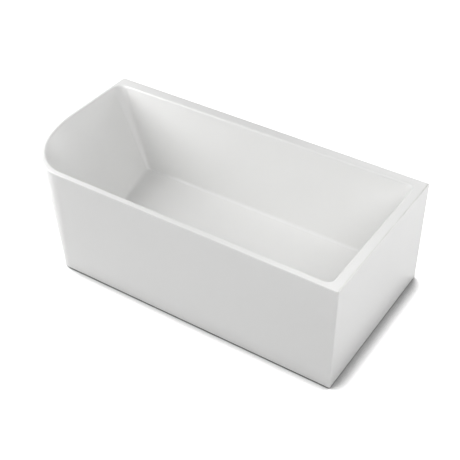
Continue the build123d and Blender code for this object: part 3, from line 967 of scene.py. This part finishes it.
def foot_centres():
    """Middle line of each foot, on the floor."""
    return [box_middle(f"foot_stud_{number}") * Vector((1, 1, 0)) for number in FOOT_NUMBERS]


# Operators, one for each group of pieces


class BATH_OT_acrylic(bpy.types.Operator):
    """Finish the basin and the skirt in polished acrylic, with its fibre backing behind"""

    bl_idname = "bath.acrylic"
    bl_label = "Acrylic basin and skirt"

    def execute(self, context):
        finish = context.scene.bath_finish
        middle = box_middle("outer_skirt")
        use_material(acrylic_material("basin_acrylic", finish, underside_mask), "bath_shell")
        use_material(
            acrylic_material("skirt_acrylic", finish, lambda tree: inward_mask(tree, middle)), "outer_skirt"
        )
        return {"FINISHED"}


class BATH_OT_boards(bpy.types.Operator):
    """Finish the board under the floor and the battens under the deck"""

    bl_idname = "bath.boards"
    bl_label = "Board and battens"

    def execute(self, context):
        board = board_material(context.scene.bath_finish)
        use_material(board, "base_board", "back_rim_batten", "end_rim_batten")
        return {"FINISHED"}


class BATH_OT_frame(bpy.types.Operator):
    """Finish the steel frame and the brackets of the skirt"""

    bl_idname = "bath.frame"
    bl_label = "Steel frame and brackets"

    def execute(self, context):
        steel = galvanised_material(context.scene.bath_finish)
        names = [
            name
            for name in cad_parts
            if name.endswith("_rail") or name.startswith(("cross_member", "skirt_bracket"))
        ]
        use_material(steel, *names)
        return {"FINISHED"}


class BATH_OT_screws(bpy.types.Operator):
    """Make the screws of the board and of the brackets, with washers and threads"""

    bl_idname = "bath.screws"
    bl_label = "Screws"

    def execute(self, context):
        hardware = context.scene.bath_hardware
        zinc = zinc_material(context.scene.bath_finish)
        low, high = box_reach("board_screws", 2)
        seat = low + hardware.screw_head
        parts = []
        for place in board_screw_places(hardware):
            parts += screw(place, seat, high, hardware.screw_head, hardware, -1)
        finish_piece(
            "board_screws_threaded", joined(parts), zinc, "bath", "zinc_plated_steel", "board_screws"
        )
        low, high = box_reach("bracket_screws", 2)
        seat = high - hardware.screw_head
        parts = []
        for place in bracket_screw_places(hardware):
            parts += screw(place, seat, low, hardware.screw_head, hardware, 1)
        finish_piece(
            "bracket_screws_threaded", joined(parts), zinc, "bath", "zinc_plated_steel", "bracket_screws"
        )
        return {"FINISHED"}


class BATH_OT_feet(bpy.types.Operator):
    """Make the threaded foot studs and the nuts they run in, and finish the pads"""

    bl_idname = "bath.feet"
    bl_label = "Feet"

    def execute(self, context):
        hardware = context.scene.bath_hardware
        finish = context.scene.bath_finish
        zinc = zinc_material(finish)
        pad = moulded_material("black_pad_plastic", finish.black_plastic_colour, 0.5, 1600.0, 0.00004)
        for number, centre in zip(FOOT_NUMBERS, foot_centres()):
            low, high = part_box(f"foot_stud_{number}")
            radius = (high.x - low.x) / 2
            stud = threaded_rod(
                centre, low.z, high.z, radius, hardware.stud_pitch, hardware.stud_thread_depth
            )
            finish_piece(
                f"threaded_stud_{number}",
                stud,
                zinc,
                f"foot_{number}",
                "zinc_plated_steel",
                f"foot_stud_{number}",
            )
            use_material(pad, f"foot_pad_{number}")
        bore = radius + hardware.nut_clearance
        for node in ("foot_lock_nuts", "foot_weld_nuts"):
            low, high = box_reach(node, 2)
            nuts = [hexagon(centre, low, high, hardware.nut_flats, bore) for centre in foot_centres()]
            finish_piece(node + "_chamfered", joined(nuts), zinc, "bath", "zinc_plated_steel", node)
        return {"FINISHED"}


class BATH_OT_waste(bpy.types.Operator):
    """Finish the waste, its pop-up plug and the fittings of the overflow"""

    bl_idname = "bath.waste"
    bl_label = "Waste, plug and overflow"

    def execute(self, context):
        finish = context.scene.bath_finish
        chrome = chrome_material(finish)
        rubber = moulded_material("black_rubber", finish.rubber_colour, 0.75, 1100.0, 0.00005)
        plastic = moulded_material("white_plastic", finish.white_plastic_colour, 0.4, 1400.0, 0.00003)
        use_material(chrome, "waste_flange", "plug_cap", "overflow_ring", "overflow_cover")
        use_material(rubber, "lower_waste_gasket", "upper_waste_gasket", "plug_seal", "overflow_gasket")
        use_material(plastic, "waste_body", "overflow_body")
        use_material(turned_brass_material(finish), "plug_stem")
        return {"FINISHED"}


class BATH_OT_hose(bpy.types.Operator):
    """Make the ribbed overflow hose and its two worm-drive clips"""

    bl_idname = "bath.hose"
    bl_label = "Overflow hose"

    def execute(self, context):
        hardware = context.scene.bath_hardware
        finish = context.scene.bath_finish
        grey = moulded_material("grey_hose_plastic", finish.hose_colour, 0.42, 1200.0, 0.00003)
        finish_piece(
            "ribbed_overflow_hose",
            ribbed_hose(hardware),
            grey,
            "bath",
            "grey_plastic",
            "overflow_hose",
        )
        finish_piece(
            "worm_hose_clips",
            hose_clips(hardware),
            zinc_material(finish),
            "bath",
            "zinc_plated_steel",
            "hose_clips",
        )
        return {"FINISHED"}


class BATH_OT_stage(bpy.types.Operator):
    """Set up the pale floor, the soft lights, the backdrop and the camera"""

    bl_idname = "bath.stage"
    bl_label = "Studio"

    def execute(self, context):
        stage = context.scene.bath_stage
        make_floor(stage)
        make_backdrop(stage)
        make_lights(stage)
        make_camera(stage)
        context.scene.view_settings.view_transform = "Standard"
        return {"FINISHED"}


def seen_directly(tree):
    """1 for rays from the camera, and for mirrored and refracted ones."""
    rays = shader_node(tree, "LightPath").outputs
    mirrored = math_node(tree, "MAXIMUM", rays["Is Glossy Ray"], rays["Is Transmission Ray"])
    return math_node(tree, "MAXIMUM", rays["Is Camera Ray"], mirrored)


def contact_shadow(tree, stage):
    """Painted contact shadow from ambient occlusion: 1 on the open floor, less beside the bath, and least
    on the side away from the left light.
    """
    lean = shader_node(tree, "CombineXYZ", CONTACT_LEAN)
    shade = shader_node(tree, "AmbientOcclusion", {"Distance": stage.contact_reach}, samples=16)
    tree.links.new(lean.outputs["Vector"], shade.inputs["Normal"])
    clear = shader_node(tree, "MapRange", CONTACT_SHADE)
    tree.links.new(shade.outputs["AO"], clear.inputs["Value"])
    return clear.outputs["Result"]


def floor_whitening(tree, stage):
    """Glow of the open floor: less where the lights reach, so that it is white all over."""
    place = shader_node(tree, "TexCoord").outputs["Object"]
    away = shader_node(tree, "VectorMath", operation="LENGTH")
    tree.links.new(place, away.inputs[0])
    rise = shader_node(
        tree,
        "MapRange",
        {
            "From Min": stage.floor_near,
            "From Max": stage.floor_near * 1.6,
            "To Min": stage.floor_glow,
            "To Max": 1.0,
        },
        interpolation_type="SMOOTHSTEP",
    )
    tree.links.new(away.outputs["Value"], rise.inputs["Value"])
    return rise.outputs["Result"]


def make_floor(stage):
    """A wide pale floor, whitened where it is seen, that keeps the bath's shadow from the lights and adds a
    painted contact shadow beside the skirt.
    """
    work = bmesh.new()
    bmesh.ops.create_grid(work, x_segments=1, y_segments=1, size=stage.floor_size)
    mesh = bpy.data.meshes.new("studio_floor")
    work.to_mesh(mesh)
    work.free()
    floor = bpy.data.objects.new("studio_floor", mesh)
    bpy.context.scene.collection.objects.link(floor)
    material = bpy.data.materials.new("studio_floor")
    material.use_nodes = True
    tree = material.node_tree
    shader = tree.nodes["Principled BSDF"]
    clear = contact_shadow(tree, stage)
    # Painted shadow: the floor's colour darkens towards the skirt by the ambient occlusion factor.
    shadow_colour = shaded(stage.floor_colour, stage.contact_tone)
    tree.links.new(colour_mix(tree, clear, shadow_colour, stage.floor_colour), shader.inputs["Base Color"])
    shader.inputs["Roughness"].default_value = 0.9
    shader.inputs["Specular IOR Level"].default_value = 0.0
    shader.inputs["Emission Color"].default_value = (1.0, 1.0, 1.0, 1.0)
    glow = math_node(tree, "MULTIPLY", floor_whitening(tree, stage), seen_directly(tree))
    # Painted shadow: the whitening glow also dims beside the skirt by the same factor.
    glow = math_node(tree, "MULTIPLY", glow, clear)
    tree.links.new(glow, shader.inputs["Emission Strength"])
    mesh.materials.append(material)


def make_backdrop(stage):
    """A white world where it is seen, and even room light on the bath."""
    world = bpy.data.worlds.new("studio_backdrop")
    bpy.context.scene.world = world
    world.use_nodes = True
    tree = world.node_tree
    background = tree.nodes["Background"]
    background.inputs["Color"].default_value = (1.0, 1.0, 1.0, 1.0)
    unseen = math_node(tree, "SUBTRACT", 1.0, seen_directly(tree))
    room = math_node(tree, "MULTIPLY", unseen, stage.room_light)
    strength = math_node(tree, "ADD", room, seen_directly(tree))
    tree.links.new(strength, background.inputs["Strength"])


def add_area_light(name, place, target, size, power):
    """A soft square light that points at a target."""
    data = bpy.data.lights.new(name, "AREA")
    data.shape = "SQUARE"
    data.size = size
    data.energy = power
    light = bpy.data.objects.new(name, data)
    light.location = place
    light.rotation_mode = "QUATERNION"
    light.rotation_quaternion = (target - place).to_track_quat("-Z", "Y")
    bpy.context.scene.collection.objects.link(light)


def make_lights(stage):
    """Soft lights in a ring round the bath, each by its azimuth and elevation in degrees."""
    middle = (cad_bounds[0] + cad_bounds[1]) / 2
    lights = (
        ("left_light", 282, 30, stage.left_power),
        ("right_light", 60, 45, stage.right_power),
        ("front_light", 0, 25, stage.front_power),
        ("end_light", 120, 20, stage.end_power),
        ("back_light", 180, 20, stage.back_power),
    )
    for name, azimuth, elevation, power in lights:
        level = Vector((math.sin(math.radians(azimuth)), -math.cos(math.radians(azimuth)), 0))
        rise = math.radians(elevation)
        place = middle + (level * math.cos(rise) + UP * math.sin(rise)) * stage.light_distance
        add_area_light(name, place, middle, stage.light_size, power)


def make_camera(stage):
    """The camera at the photograph's viewing angle."""
    data = bpy.data.cameras.new("camera")
    data.lens = stage.camera_lens
    camera = bpy.data.objects.new("camera", data)
    bpy.context.scene.collection.objects.link(camera)
    aim = Euler((math.pi / 2 - stage.camera_elevation, 0.0, stage.camera_azimuth)).to_matrix()
    aim = aim @ Matrix.Rotation(stage.camera_roll, 3, "Z")
    camera.matrix_world = Matrix.Translation(stage.camera_place) @ aim.to_4x4()
    bpy.context.scene.camera = camera


class BATH_PT_panel(bpy.types.Panel):
    """The bath's pieces, settings and studio in the sidebar"""

    bl_label = "Corner bath"
    bl_idname = "BATH_PT_panel"
    bl_space_type = "VIEW_3D"
    bl_region_type = "UI"
    bl_category = "Bath"

    def draw(self, context):
        scene = context.scene
        groups = (
            ("Finish", scene.bath_finish, ("acrylic", "boards", "frame")),
            ("Hardware", scene.bath_hardware, ("screws", "feet", "waste", "hose")),
            ("Studio", scene.bath_stage, ("stage",)),
        )
        for title, settings, operators in groups:
            box = self.layout.box()
            box.label(text=title)
            for name in operators:
                box.operator("bath." + name)
            for name in settings.__annotations__:
                box.prop(settings, name)


CLASSES = (
    BathFinishSettings,
    BathHardwareSettings,
    BathStageSettings,
    BATH_OT_acrylic,
    BATH_OT_boards,
    BATH_OT_frame,
    BATH_OT_screws,
    BATH_OT_feet,
    BATH_OT_waste,
    BATH_OT_hose,
    BATH_OT_stage,
    BATH_PT_panel,
)


def register():
    for cls in CLASSES:
        bpy.utils.register_class(cls)
    bpy.types.Scene.bath_finish = PointerProperty(type=BathFinishSettings)
    bpy.types.Scene.bath_hardware = PointerProperty(type=BathHardwareSettings)
    bpy.types.Scene.bath_stage = PointerProperty(type=BathStageSettings)


def unregister():
    del bpy.types.Scene.bath_stage
    del bpy.types.Scene.bath_hardware
    del bpy.types.Scene.bath_finish
    for cls in reversed(CLASSES):
        bpy.utils.unregister_class(cls)


def main():
    register()
    bpy.ops.bath.acrylic()
    bpy.ops.bath.boards()
    bpy.ops.bath.frame()
    bpy.ops.bath.screws()
    bpy.ops.bath.feet()
    bpy.ops.bath.waste()
    bpy.ops.bath.hose()
    bpy.ops.bath.stage()


if __name__ == "__main__":
    main()
